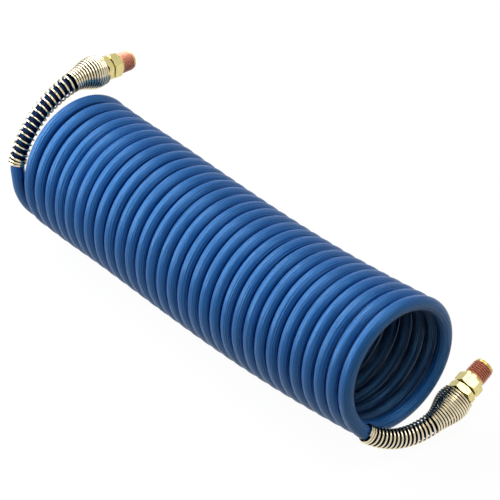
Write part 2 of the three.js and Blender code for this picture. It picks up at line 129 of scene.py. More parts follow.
# What follows: radii, and places along a fitting from its collar's rear face.
HEX_CORNER = HEX_ACROSS_FLATS / 2 / math.cos(math.pi / 6)
FERRULE_INNER = HOSE_RADIUS + SEAT_GAP
FERRULE_OUTER = FERRULE_INNER + FERRULE_WALL
NUT_BORE = FERRULE_OUTER + SEAT_GAP
NUT_TAIL_RADIUS = NUT_BORE + NUT_TAIL_WALL
FLANGE_FRONT = COLLAR_LENGTH - NUT_WEB - SEAT_GAP
FLANGE_BACK = FLANGE_FRONT - FLANGE_THICKNESS
HOSE_END = FLANGE_BACK - SEAT_GAP
STEM_REAR = COLLAR_LENGTH + SWIVEL_GAP
STEM_HEX_FRONT = STEM_REAR + STEM_HEX_LENGTH
STEM_NECK_FRONT = STEM_HEX_FRONT + STEM_NECK_LENGTH
STEM_TIP = STEM_NECK_FRONT + THREAD_LENGTH
THREAD_TIP_RADIUS = THREAD_OD / 2 - THREAD_LENGTH * THREAD_TAPER / 2
STEM_BEARING = SHANK_RADIUS + BEARING_CLEARANCE
SPIGOT_FRONT = COLLAR_LENGTH + SPIGOT_LENGTH
COUNTERBORE_FLOOR = SPIGOT_FRONT + 2 * SEAT_GAP
HOSE_STRAIGHT = (-12 * MM, -6 * MM, HOSE_END)  # where the hose lies on the fitting's axis

# Points on the hose's centreline past the coil, in order from the coil: hose diameters beyond
# the coil's end, and coil radii across and above the coil's axis. One of them is the guard's
# narrow end, and the middle of the rear face of end A's collar is counted in the same way.
ROUTES = {
    "a": [
        [0.163, -0.984, 0.201], [0.184, -0.922, 0.368], [0.216, -0.837, 0.519],
        [0.247, -0.729, 0.657], [0.332, -0.463, 0.909], [0.416, -0.14, 1.075],
        [0.468, 0.06, 1.139], [0.532, 0.287, 1.166],
    ],
    "b": [
        [0.153, -0.849, -0.526], [0.353, -0.693, -0.726], [0.542, -0.583, -0.818],
        [0.753, -0.433, -0.907], [0.942, -0.245, -0.985], [1.132, 0.032, -1.036],
        [1.237, 0.255, -1.026], [1.3, 0.472, -0.976],
    ],
}
GUARD_POINTS = {"a": 0, "b": 1}
FACE_A = [0.626, 0.766, 1.139]
TOWARD_COIL = {"a": 1, "b": -1}

GUARD_SEAT_LIFT = 1.6 * MM  # of the last turn's inside above the nut's tail
GUARD_PLAY = 0.2 * MM  # round the hose at the narrow end
GUARD_NECK_GROWTH = 0.9 * MM  # the open part flares by this much in radius
GUARD_CREST_SHARE = 0.24  # of the barrel's length, from the collar to its widest turn
GUARD_TURN_RADIUS = 8.5 * MM  # of a middling turn, for the number of rings along its wire


def beside_coil(end, places):
    """Points beside one end of the coil, counted from its middle: its half length and the given
    hose diameters along X, and the given coil radii across and above the axis at its ends."""
    beyond, across, above = np.array(places, float).T
    x = -TOWARD_COIL[end] * (COIL_HALF_LENGTH + beyond * 2 * HOSE_RADIUS)
    return np.stack([x, across * COIL_MEAN_RADIUS, COIL_END_AXIS + above * COIL_MEAN_RADIUS], -1)


def guard_start(end):
    """Where the guard's narrow end lies on the hose."""
    return beside_coil(end, ROUTES[end])[GUARD_POINTS[end]] + SHIFT


# The frame counts from under the middle of the whole hose, and so the coil's middle lies off its
# origin by this much. A swivel's joint lies at the middle of its collar's rear face.
SHIFT = np.array(JOINTS["swivel_a"]["pos_m"]) - beside_coil("a", [FACE_A])[0]


# -------------------- surfaces

SHARP_ANGLE = math.radians(34)  # an edge that turns by more than this is drawn sharp


def lerp(a, b, share):
    return a + (b - a) * share


def smooth(share):
    """Half a cosine wave from 0 to 1, level at both ends."""
    return 0.5 - 0.5 * np.cos(np.pi * np.clip(share, 0, 1))


def unit(vectors):
    return vectors / np.linalg.norm(vectors, axis=-1, keepdims=True)


def circle(count):
    """Angles at even steps, once round."""
    return np.linspace(0, 2 * np.pi, count, endpoint=False)


def grid_faces(rows, columns, wrap_rows):
    """The quads of a grid whose columns close on themselves, and its rows too where wrap_rows."""
    row = np.arange(rows * columns).reshape(rows, columns)
    next_row = np.roll(row, -1, 0)
    quads = np.stack([row, np.roll(row, -1, 1), np.roll(next_row, -1, 1), next_row], -1)
    return quads[: rows if wrap_rows else rows - 1].reshape(-1, 4)


def enclosed_volume(points, quads):
    """The sum over both triangles of each quad of the volume between them and the origin."""
    a, b, c, d = (points[quads[:, k]] for k in range(4))
    return (np.cross(a, b) * c + np.cross(a, c) * d).sum() / 6


def surface(name, grid, texture, wrap_rows=False):
    """A closed mesh from a grid of points: rows along the piece, columns round it. An open grid
    gets a pole in the middle of its first and last row. The texture grid gives each point the
    place that its material's pattern is read at."""
    rows, columns = grid.shape[:2]
    points, places = grid.reshape(-1, 3), texture.reshape(-1, 3)
    quads = grid_faces(rows, columns, wrap_rows)
    fans = np.zeros((0, 3), int)
    if not wrap_rows:
        points = np.concatenate([points, [grid[0].mean(0), grid[-1].mean(0)]])
        places = np.concatenate([places, [texture[0].mean(0), texture[-1].mean(0)]])
        here = np.arange(columns)
        after = np.roll(here, -1)
        pole, last_row = np.full(columns, rows * columns), (rows - 1) * columns
        start = np.stack([pole, after, here], -1)
        end = np.stack([pole + 1, last_row + here, last_row + after], -1)
        fans = np.concatenate([start, end])
    closed = np.concatenate([quads, np.concatenate([fans, fans[:, 2:]], 1)])
    if enclosed_volume(points, closed) < 0:
        quads, fans = quads[:, ::-1], fans[:, ::-1]
    mesh = bpy.data.meshes.new(name)
    mesh.from_pydata(points.tolist(), [], quads.tolist() + fans.tolist())
    mesh.update()
    mesh.polygons.foreach_set("use_smooth", np.ones(len(mesh.polygons), bool))
    mesh.set_sharp_from_angle(angle=SHARP_ANGLE)
    place = mesh.attributes.new("place", "FLOAT_VECTOR", "POINT")
    place.data.foreach_set("vector", places.astype(np.float32).ravel())
    piece = bpy.data.objects.new(name, mesh)
    bpy.context.scene.collection.objects.link(piece)
    return piece


def turned(outline, columns, radius_limit=None):
    """A grid from an outline of [radius, height] points turned about Y. Where radius_limit is
    given, it caps each radius as a function of the angle, such as by a hexagon's sides."""
    radius, height = np.array(outline, float).T[:, :, None]
    angle = circle(columns)
    if radius_limit is not None:
        radius = np.minimum(radius, radius_limit(angle))
    parts = np.broadcast_arrays(radius * np.sin(angle), height, radius * np.cos(angle))
    return np.stack(parts, -1)


def tube(centres, side, up, radius, columns):
    """A circle round each centre, in the plane of its side and up vectors."""
    angle = circle(columns)[None, :, None]
    return centres[:, None] + radius * (np.cos(angle) * side[:, None] + np.sin(angle) * up[:, None])


def tube_texture(distance, radius, columns):
    """For each point of a tube's grid: its place on the tube's circle, and its distance along."""
    angle = circle(columns)
    parts = np.broadcast_arrays(radius * np.cos(angle), radius * np.sin(angle), distance[:, None])
    return np.stack(parts, -1)


# -------------------- the hose's centreline


def natural_spline(points, per_span):
    """A twice smooth cubic through the points: its second derivatives solve one linear system,
    with none at both ends. Each span between points is sampled at even steps."""
    h = np.linalg.norm(np.diff(points, axis=0), axis=1)
    count = len(points)
    matrix = np.eye(count)
    inner = np.arange(1, count - 1)
    matrix[inner, inner - 1] = h[:-1]
    matrix[inner, inner] = 2 * (h[:-1] + h[1:])
    matrix[inner, inner + 1] = h[1:]
    slope = np.diff(points, axis=0) / h[:, None]
    right = np.zeros_like(points)
    right[1:-1] = 6 * np.diff(slope, axis=0)
    bend = np.linalg.solve(matrix, right)
    share = np.linspace(0, 1, per_span, endpoint=False)[None, :, None]
    a, b, h = points[:-1, None], points[1:, None], h[:, None, None]
    m0, m1 = bend[:-1, None], bend[1:, None]
    curve = (
        a * (1 - share) + b * share
        + h**2 / 6 * (((1 - share) ** 3 - (1 - share)) * m0 + (share**3 - share) * m1)
    )
    return np.concatenate([curve.reshape(-1, 3), points[-1:]])


def lengths_along(points):
    """The distance to each point along the straight lines between them."""
    return np.concatenate([[0], np.cumsum(np.linalg.norm(np.diff(points, axis=0), axis=1))])


class Route:
    """The hose's whole centreline, from inside end A's fitting to inside end B's."""

    def __init__(self):
        turn = np.arange(COIL_TURNS * TURN_POINTS + 1) / TURN_POINTS
        lead_a, coil, lead_b = self.lead("a")[::-1], self.coil_points(turn), self.lead("b")
        self.points = natural_spline(np.concatenate([lead_a, coil, lead_b]), SPAN_POINTS)
        self.along = lengths_along(self.points)
        self.length = self.along[-1]
        first = len(lead_a) * SPAN_POINTS
        last = first + (len(coil) - 1) * SPAN_POINTS
        self.coil_span = (self.along[first], self.along[last])

    def lead(self, end):
        """The knots from the coil to one end of the hose: those listed, then a few on the
        fitting's axis."""
        straight = [self.on_axis(end, place) for place in HOSE_STRAIGHT]
        return np.concatenate([beside_coil(end, ROUTES[end]) + SHIFT, straight])

    @staticmethod
    def on_axis(end, place):
        """A point on a fitting's axis, at a place counted from its collar's rear face."""
        joint = JOINTS[f"swivel_{end}"]
        return np.array(joint["pos_m"]) + place * unit(np.array(joint["axis"], float))

    @staticmethod
    def coil_points(turn):
        """A right-handed helix about X, lifted towards its ends by a parabola and swaying by one
        sine wave. A few turns near end A are set off along X and down, by two half waves."""
        x = (turn - COIL_TURNS / 2) * COIL_PITCH
        angle = np.pi + 2 * np.pi * turn
        share = x / COIL_HALF_LENGTH
        full, fading, gone = SET_OFF_TURNS
        off = smooth(turn / full) * (1 - smooth((turn - fading) / (gone - fading)))
        lift = COIL_MEAN_RADIUS + HOSE_RADIUS + COIL_END_RISE * share**2 - SET_OFF_DROP * off
        y = COIL_MEAN_RADIUS * np.cos(angle) - COIL_SWAY * np.sin(np.pi * share)
        z = lift + COIL_MEAN_RADIUS * np.sin(angle)
        return np.stack([x + SET_OFF * off, y, z], -1) + SHIFT

    def at(self, distance):
        """Points and the two vectors across, at distances along the hose. The tangent is the chord
        over a small step each way, and the side vector is X made square to it."""
        step = 0.2 * MM
        along = unit(self.interpolate(distance + step) - self.interpolate(distance - step))
        side = unit(np.array([1.0, 0, 0]) - along * along[:, :1])
        return self.interpolate(distance), side, np.cross(along, side)

    def interpolate(self, distance):
        distance = np.clip(distance, 0, self.length)
        return np.stack([np.interp(distance, self.along, self.points[:, k]) for k in range(3)], -1)

    def nearest(self, point):
        """The distance along the hose at which it passes nearest to a point."""
        return self.along[np.argmin(np.linalg.norm(self.points - point, axis=1))]


# -------------------- materials


class Shade:
    """A value on its way through a material. Arithmetic on it adds Math nodes."""

    def __init__(self, board, socket):
        self.board = board
        self.socket = socket

    def __add__(self, other):
        return self.board.math("ADD", self, other)

    def __sub__(self, other):
        return self.board.math("SUBTRACT", self, other)

    def __rsub__(self, other):
        return self.board.math("SUBTRACT", other, self)

    def __mul__(self, other):
        return self.board.math("MULTIPLY", self, other)

    __radd__ = __add__
    __rmul__ = __mul__

    def above(self, edge, width):
        """0 below the edge and 1 above it, changing smoothly over the width."""
        ends = {"From Min": edge - width / 2, "From Max": edge + width / 2}
        settings = {"interpolation_type": "SMOOTHSTEP", "clamp": True}
        return self.board.node("ShaderNodeMapRange", settings, {"Value": self, **ends}, "Result")


class NodeTree:
    """The nodes of a material or a world."""

    def __init__(self, tree):
        self.tree = tree

    def put(self, socket, value):
        if isinstance(value, Shade):
            self.tree.links.new(value.socket, socket)
        else:
            socket.default_value = value

    def node(self, kind, settings, values, output):
        """Adds a node: its settings first, then the values or links of its sockets."""
        node = self.tree.nodes.new(kind)
        for key, value in settings.items():
            setattr(node, key, value)
        for key, value in values.items():
            self.put(node.inputs[key], value)
        return Shade(self, node.outputs[output])

    def math(self, operation, a, b=0.0):
        return self.node("ShaderNodeMath", {"operation": operation}, {0: a, 1: b}, 0)

    def shown(self, mirrored_share):
        """1 where the camera sees straight, and the share where a surface mirrors."""
        seen = self.node("ShaderNodeLightPath", {}, {}, "Is Camera Ray")
        mirrored = self.node("ShaderNodeLightPath", {}, {}, "Is Glossy Ray")
        return seen + mirrored * mirrored_share


class Board(NodeTree):
    """A material and its nodes."""

    def __init__(self, name):
        self.material = bpy.data.materials.new(name)
        self.material.use_nodes = True
        super().__init__(self.material.node_tree)
        self.tree.nodes.clear()
        self.shader = self.tree.nodes.new("ShaderNodeBsdfPrincipled")
        output = self.tree.nodes.new("ShaderNodeOutputMaterial")
        self.tree.links.new(self.shader.outputs["BSDF"], output.inputs["Surface"])

    def place(self):
        """Where each point lies in the piece's texture grid."""
        return self.node("ShaderNodeAttribute", {"attribute_name": "place"}, {}, "Vector")

    def scaled(self, vector, scale):
        settings = {"operation": "MULTIPLY"}
        return self.node("ShaderNodeVectorMath", settings, {0: vector, 1: scale}, "Vector")

    def noise(self, vector, cells, detail=2, roughness=0.5):
        """A soft pattern of so many cells in a metre: one number, or three for X, Y and Z."""
        if isinstance(cells, tuple):
            vector, cells = self.scaled(vector, cells), 1
        values = {"Vector": vector, "Scale": cells, "Detail": detail, "Roughness": roughness}
        return self.node("ShaderNodeTexNoise", {}, values, "Fac")

    def part_of(self, vector, axis):
        return self.node("ShaderNodeSeparateXYZ", {}, {"Vector": vector}, axis)

    def mix(self, factor, a, b):
        """Colour a where the factor is 0 and colour b where it is 1."""
        settings = {"data_type": "RGBA"}
        colours = {6: a if isinstance(a, Shade) else (*a, 1), 7: b if isinstance(b, Shade) else (*b, 1)}
        return self.node("ShaderNodeMix", settings, {0: factor, **colours}, 2)

    def bump(self, height, distance, strength):
        values = {"Height": height, "Distance": distance, "Strength": strength}
        self.finish(Normal=self.node("ShaderNodeBump", {}, values, "Normal"))

    def finish(self, **values):
        for key, value in values.items():
            self.put(self.shader.inputs[key.replace("_", " ")], value)
        return self.material


def toned(colour, factor):
    """A colour made darker or lighter by one factor."""
    return tuple(factor * part for part in colour)


# Painted shade on the hose inside the guards: dark, metallic nylon. The fade serves all painted shade
# on the hose.
SHADE_FADE = 2 * MM
GUARD_SHADE_STRENGTH = 0.96
GUARD_SHADE_NYLON = (0.005, 0.007, 0.018)
# Painted shade on the coil: its colour, then where it lies in the grooves between the turns.
PAINTED_SHADE = (0.004, 0.008, 0.03)
GROOVE_SHADE_FROM = 0.94 * HOSE_RADIUS  # across the tube, where neighbouring turns all but touch
GROOVE_SHADE_FADE = 0.1 * HOSE_RADIUS
GROOVE_SHADE_STRENGTH = 0.8
# Painted shade on the inner side of the coil's turns.
INNER_SHADE_FROM = 0.3 * HOSE_RADIUS  # inwards from the tube's middle
INNER_SHADE_FADE = 0.6 * HOSE_RADIUS
INNER_SHADE_STRENGTH = 0.85
SCUFFED_NYLON = (0.35, 0.5, 0.8)
NYLON_GLOSS = (0.2, 0.52, 0.96, 1.0)  # the dyed skin tints what it mirrors
STREAKS = (1100, 1100, 16)  # a pattern's cells in a metre, here across the tube and along it
SCUFFS = (260, 260, 60)
MOTTLE = 70
SKIN_GRAIN = 900
STREAK_BUMP = 0.4 * MM


def nylon(colour, guard_shade_ends, wound):
    """Extruded nylon: streaks along the tube, a faint mottle, and a few dull scuffs. Up to the
    first of the guard shade ends along the hose and from the second, the nylon is painted dark
    and metallic as shade inside the guards. Between the wound distances, shade is painted in the
    grooves between the turns and on their inner side, but not on the free sides of the first and
    the last turn."""
    board = Board("blue_nylon")
    place = board.place()
    streak = board.noise(place, STREAKS, detail=3).above(0.5, 0.5)
    mottle = board.noise(place, MOTTLE, detail=3)
    scuff = board.noise(place, SCUFFS, 4, roughness=0.65).above(0.69, 0.06)
    light = tuple(min(1.0, 1.22 * part + 0.004) for part in colour)
    base = board.mix(streak * 0.55 + mottle * 0.45, toned(colour, 0.76), light)
    base = board.mix(scuff * 0.16, base, SCUFFED_NYLON)
    distance = board.part_of(place, "Z")
    # painted shade on the hose inside each guard
    guard_shade = 1 - distance.above(guard_shade_ends[0], SHADE_FADE) + distance.above(guard_shade_ends[1], SHADE_FADE)
    base = board.mix(guard_shade * GUARD_SHADE_STRENGTH, base, GUARD_SHADE_NYLON)

    def between(start, end):
        return distance.above(start, SHADE_FADE) * (1 - distance.above(end, SHADE_FADE))

    start, end = wound
    turn_length = (end - start) / COIL_TURNS
    # painted shade in the grooves, on the sides of each turn that face its neighbours
    across = board.part_of(place, "X")
    ahead = across.above(GROOVE_SHADE_FROM, GROOVE_SHADE_FADE) * between(start, end - turn_length)
    behind = (0 - across).above(GROOVE_SHADE_FROM, GROOVE_SHADE_FADE) * between(start + turn_length, end)
    base = board.mix((ahead + behind) * GROOVE_SHADE_STRENGTH, base, PAINTED_SHADE)
    # painted shade on the inner side of the turns, away from the first and the last turn
    inner = (0 - board.part_of(place, "Y")).above(INNER_SHADE_FROM, INNER_SHADE_FADE)
    inner = inner * between(start + turn_length, end - turn_length)
    base = board.mix(inner * INNER_SHADE_STRENGTH, base, PAINTED_SHADE)
    board.bump(streak * 0.7 + board.noise(place, SKIN_GRAIN) * 0.3, STREAK_BUMP, 1.0)
    return board.finish(
        Base_Color=base,
        Roughness=0.22 + mottle * 0.06 + streak * 0.1 + scuff * 0.15,
        Metallic=guard_shade * GUARD_SHADE_STRENGTH,
        IOR=1.8,
        Specular_IOR_Level=0.65,
        Specular_Tint=NYLON_GLOSS,
    )


# Painted shade on the wire's inner side, towards the hose and the next turns.
WIRE_SHADE = (0.035, 0.032, 0.025)
WIRE_SHADE_FROM = 0.3 * WIRE_RADIUS  # out from the wire's middle
WIRE_SHADE_FADE = 0.5 * WIRE_RADIUS
DRAWN_LINES = (4000, 4000, 60)
TINT_DRIFT = 160
METAL_BUMP = 0.01 * MM


def plated_wire(colour):
    """Bright yellow-zinc plate on drawn wire, whose tint drifts along the wire. On the inner side
    of the wire, towards the hose and the next turns, shade is painted dark."""
    board = Board("yellow_zinc_wire")
    place = board.place()
    tint = board.noise(place, TINT_DRIFT).above(0.5, 0.5)
    drawn = board.noise(place, DRAWN_LINES)
    pink = tuple(c * k for c, k in zip(colour, (1.04, 0.9, 1.0)))
    base = board.mix(tint * 0.7, colour, pink)
    # painted shade: dark on the wire's inner side
    outer = board.part_of(place, "X").above(WIRE_SHADE_FROM, WIRE_SHADE_FADE)
    base = board.mix(outer, WIRE_SHADE, base)
    board.bump(drawn, METAL_BUMP, 0.5)
    return board.finish(Base_Color=base, Roughness=0.1 + drawn * 0.1, Metallic=1.0)


TOOL_FEED = 0.22 * MM  # between the rings that the turning tool leaves
CLOUDS = 240
DULL_SPOTS = 900


def brass_nodes(board, place, colour):
    """Turned brass: fine rings from the tool, cloudy handling marks and a few darker, dull spots.
    Returns its colour, its roughness and the height of its bumps."""
    ring = board.math("SINE", board.part_of(place, "Y") * (2 * math.pi / TOOL_FEED))
    cloud = board.noise(place, CLOUDS, 4, roughness=0.6)
    dull = board.noise(place, DULL_SPOTS, 3, roughness=0.6).above(0.64, 0.12)
    base = board.mix(cloud.above(0.55, 0.5), colour, toned(colour, 0.82))
    base = board.mix(dull * 0.15, base, toned(colour, 0.5))
    return base, 0.18 + cloud * 0.1 + dull * 0.08, ring * 0.3 + cloud * 0.7


# Painted shade on the nut's tail under the guard.
GUARD_SHADE_BRASS = (0.03, 0.025, 0.015)
BRASS_SHADE_FADE = 0.1 * MM


def brass(colour, shaded_to=None):
    """Turned brass, with shade painted dark, and made rougher, up to a height, where a guard covers it.
    """
    board = Board("turned_brass")
    place = board.place()
    base, roughness, height = brass_nodes(board, place, colour)
    if shaded_to is not None:
        # painted shade below the height, under the guard
        unshaded = board.part_of(place, "Y").above(shaded_to, BRASS_SHADE_FADE)
        base = board.mix(unshaded, GUARD_SHADE_BRASS, base)
        roughness = roughness + (1 - unshaded) * 0.3
    board.bump(height, METAL_BUMP, 0.6)
    return board.finish(Base_Color=base, Roughness=roughness, Metallic=1.0)


GROOVE_FROM = 0.52 * MM  # below the thread's cone
GROOVE_FADE = 0.2 * MM
GROOVE_STRENGTH = 0.9
GROOVE_SHADOW = (0.12, 0.02, 0.012)
COAT_COVER = 0.45  # the rest is the shine of the brass through the thin coat
COAT_FADE = 0.3 * MM
COAT_RAGGED = 1.2 * MM  # within which the coat's ends wander
COAT_BUMP = 0.04 * MM
COAT_ENDS = 800
THIN_SPOTS = 1500
PAINT_PATCHES = 500
PAINT_GRAIN = 2600


def sealed_brass(colour, sealant, coat_from, coat_to):
    """Turned brass with a dried coat of sealant on the thread, which ends raggedly, is thin in
    small spots and is dark in the grooves."""
    board = Board("brass_with_sealant")
    place = board.place()
    base, roughness, height = brass_nodes(board, place, colour)
    along = board.part_of(place, "Y")
    reach = along + (board.noise(place, COAT_ENDS, detail=3) - 0.5) * COAT_RAGGED
    coat = reach.above(coat_from, COAT_FADE) * (1 - reach.above(coat_to, COAT_FADE))
    thin = board.noise(place, THIN_SPOTS, 4, roughness=0.6).above(0.66, 0.1)
    coat = coat * (1 - thin * 0.12)
    patch = board.noise(place, PAINT_PATCHES, detail=4).above(0.5, 0.6)
    paint = board.mix(patch, toned(sealant, 0.86), sealant)
    across = board.scaled(place, (1, 0, 1))
    radius = board.node("ShaderNodeVectorMath", {"operation": "LENGTH"}, {0: across}, "Value")
    crest = THREAD_OD / 2 - (along - STEM_NECK_FRONT) * (THREAD_TAPER / 2)
    groove = (crest - radius).above(GROOVE_FROM, GROOVE_FADE)
    paint = board.mix(groove * GROOVE_STRENGTH, paint, GROOVE_SHADOW)
    grain = board.noise(place, PAINT_GRAIN, detail=3)
    board.bump(height * 0.05 + coat * (0.8 + grain * 0.2), COAT_BUMP, 0.6)
    return board.finish(
        Base_Color=board.mix(coat, base, paint),
        Roughness=roughness + coat * 0.28,
        Metallic=1 - coat * COAT_COVER,
    )


STEEL_CLOUDS = 400
SOFT_GRAIN = 1800
SOFT_BUMP = 0.02 * MM


def steel():
    """Plain bright steel, cloudy from handling."""
    board = Board("plain_steel")
    cloud = board.noise(board.place(), STEEL_CLOUDS, detail=4)
    board.bump(cloud, METAL_BUMP, 0.5)
    base = board.mix(cloud, (0.42, 0.42, 0.43), (0.62, 0.62, 0.64))
    return board.finish(Base_Color=base, Roughness=0.25 + cloud * 0.2, Metallic=1.0)


def soft_black(name, colour, roughness):
    """Black rubber or plastic with a fine grain."""
    board = Board(name)
    grain = board.noise(board.place(), SOFT_GRAIN, detail=3)
    board.bump(grain, SOFT_BUMP, 0.6)
    base = board.mix(grain, colour, toned(colour, 2.2))
    return board.finish(Base_Color=base, Roughness=roughness + grain * 0.15)


# -------------------- settings


def number_setting(name, description, default, low, high, **more):
    """A number between two limits: a whole one where its default is."""
    kind = IntProperty if isinstance(default, int) else FloatProperty
    return kind(name=name, description=description, default=default, min=low, max=high, **more)


def length_setting(name, description, default, low, high):
    return number_setting(name, description, default, low, high, unit="LENGTH", precision=5)


def colour_setting(name, description, default):
    return FloatVectorProperty(
        name=name, description=description, default=default, min=0, max=1, size=3, subtype="COLOR",
    )


class HoseSettings(bpy.types.PropertyGroup):
    colour: colour_setting("Nylon", "Colour of the tube", (0.011, 0.122, 0.42))
    ring_step: length_setting(
        "Ring step", "Distance between the rings of the tube's mesh", 4 * MM, 1 * MM, 12 * MM,
    )
    sides: number_setting("Sides", "Faces round the tube", 28, 8, 48)
    eased_turns: number_setting(
        "Eased turns", "Turns at each end over which the stretch begins", 1.5, 0.1, 8,
    )


class GuardSettings(bpy.types.PropertyGroup):
    colour: colour_setting("Plating", "Colour of the yellow-zinc plate", (0.93, 0.86, 0.58))
    barrel_diameter: length_setting(
        "Barrel", "Outside diameter of the widest turn", 22.7 * MM, 16 * MM, 30 * MM,
    )
    barrel_turns: number_setting("Barrel turns", "Close turns of the barrel", 14, 4, 30)
    open_turns: number_setting("Open turns", "Spaced turns along the bend", 16, 4, 40)
    closed_turns: number_setting("End turns", "Close turns at the narrow end", 2, 1, 6)
    closed_pitch: length_setting(
        "Close pitch", "Distance between close turns", 1.8 * MM, 2 * WIRE_RADIUS, 4 * MM,
    )
    wire_step: length_setting(
        "Wire step", "Distance between the rings of the wire's mesh", 0.9 * MM, 0.3 * MM, 4 * MM,
    )
    wire_sides: number_setting("Wire sides", "Faces round the wire", 10, 4, 24)


class FittingSettings(bpy.types.PropertyGroup):
    brass: colour_setting("Brass", "Colour of the brass", (0.92, 0.79, 0.35))
    sealant: colour_setting("Sealant", "Colour of the coat on the thread", (1.0, 0.5, 0.36))
    sealed_length: length_setting(
        "Sealed length", "How much of the thread is coated", 9.3 * MM, 0, THREAD_LENGTH,
    )
    coat_thickness: length_setting(
        "Coat", "Thickness of the sealant on the thread", 0.3 * MM, 0, 1 * MM,
    )
    thread_pitch: length_setting(
        "Thread pitch", "18 threads to the inch", 25.4 * MM / 18, 0.5 * MM, 3 * MM,
    )
    thread_depth: length_setting(
        "Thread depth", "From crest to root", 1.05 * MM, 0.2 * MM, 2 * MM,
    )
    sides: number_setting("Sides", "Faces round each turned piece", 96, 24, 192)


class StageSettings(bpy.types.PropertyGroup):
    azimuth: number_setting(
        "Azimuth", "Camera's bearing, from -Y towards +X",
        math.radians(49.251), -math.pi, math.pi, subtype="ANGLE",
    )
    elevation: number_setting(
        "Elevation", "Camera's height above the horizon",
        math.radians(34.061), 0, math.pi / 2, subtype="ANGLE",
    )
    distance: number_setting(
        "Distance", "From the camera to its aim", 2.0141, 0.1, 20, unit="LENGTH",
    )
    aim: FloatVectorProperty(
        name="Aim", description="Point that the camera looks at, from the coil's middle",
        size=3, default=(0.0066, 0.0144, 0.0573), subtype="TRANSLATION", precision=4,
    )
    lens: number_setting("Lens", "Focal length on a 36 mm sensor, in millimetres", 225.63, 20, 600)
    side_light: number_setting(
        "Side light", "Power of the tall light before end A", 14.5, 0, 500, unit="POWER",
    )
    rear_light: number_setting(
        "Rear light", "Power of the higher light beyond end A", 9.0, 0, 500, unit="POWER",
    )
    top_light: number_setting(
        "Top light", "Power of the steep light behind end B", 8.0, 0, 500, unit="POWER",
    )
    ambient: number_setting("Ambient", "Level of the light from all round", 0.05, 0, 2)


class AirHoseSettings(bpy.types.PropertyGroup):
    hose: PointerProperty(type=HoseSettings)
    guard: PointerProperty(type=GuardSettings)
    fitting: PointerProperty(type=FittingSettings)
    stage: PointerProperty(type=StageSettings)


# -------------------- pieces

BODY_OF_END = {"a": "coil", "b": "end_b"}
STEM_BODY = {"a": "stem_a", "b": "stem_b"}


def dress(piece, material, body, slot, *nodes):
    """Gives a piece its material and body, and hides the CAD nodes that it stands for."""
    piece.data.materials.append(material)
    if body is not None:
        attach(piece, body)
    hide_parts(*nodes)


def set_in_fitting(grid, end):
    """Turns a grid whose axis is Y onto the fitting's axis, and moves it to the fitting."""
    joint = JOINTS[f"swivel_{end}"]
    turn = Vector((0, 1, 0)).rotation_difference(Vector(joint["axis"]).normalized())
    return grid @ np.array(turn.to_matrix()).T + np.array(joint["pos_m"])


def fitting_pieces(name, grid, material, slot, bodies=BODY_OF_END, wrap_rows=True):
    """One piece for each fitting. Its pattern is read where the grid lies before it is turned."""
    for end, body in bodies.items():
        piece = surface(f"{name}_{end}_fine", set_in_fitting(grid, end), grid, wrap_rows)
        dress(piece, material, body, slot, f"{name}_{end}")


def stretch_share(turn, turns, eased):
    """How much of the coil's stretch lies behind a turn: it grows with the square of the turns
    over the eased ones at each end, and evenly between."""
    t, e = np.clip(turn / turns, 0, 1), eased / turns
    rising = t**2 / (2 * e * (1 - e))
    falling = 1 - (1 - t) ** 2 / (2 * e * (1 - e))
    return np.where(t < e, rising, np.where(t > 1 - e, falling, (t - e / 2) / (1 - e)))


class AIRHOSE_OT_hose(bpy.types.Operator):
    """Winds the whole hose as one tube"""

    bl_idname = "airhose.hose"
    bl_label = "Hose"

    def execute(self, context):
        settings = context.scene.air_hose.hose
        route = Route()
        distance = np.linspace(0, route.length, round(route.length / settings.ring_step) + 1)
        bored = BARB_LENGTH + 2 * SEAT_GAP
        bore_a, bore_b = np.array([bored, 0]), route.length - np.array([0, bored])
        grid = np.concatenate([
            tube(*route.at(bore_a), HOSE_BORE_RADIUS, settings.sides),
            tube(*route.at(distance), HOSE_RADIUS, settings.sides),
            tube(*route.at(bore_b), HOSE_BORE_RADIUS, settings.sides),
        ])
        row_distance = np.concatenate([bore_a, distance, bore_b])
        piece = surface("hose", grid, tube_texture(row_distance, HOSE_RADIUS, settings.sides))
        # where the painted shade on the hose inside each guard ends
        guard_shade_ends = [route.nearest(guard_start(end)) for end in "ab"]
        material = nylon(settings.colour, guard_shade_ends, route.coil_span)
        dress(piece, material, None, "nylon_hose", "hose_coil", "hose_tail_a", "hose_tail_b")
        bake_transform(piece)
        start, end = route.coil_span
        turn = (row_distance - start) / (end - start) * COIL_TURNS
        share = stretch_share(turn, COIL_TURNS, settings.eased_turns)
        return {"FINISHED"}


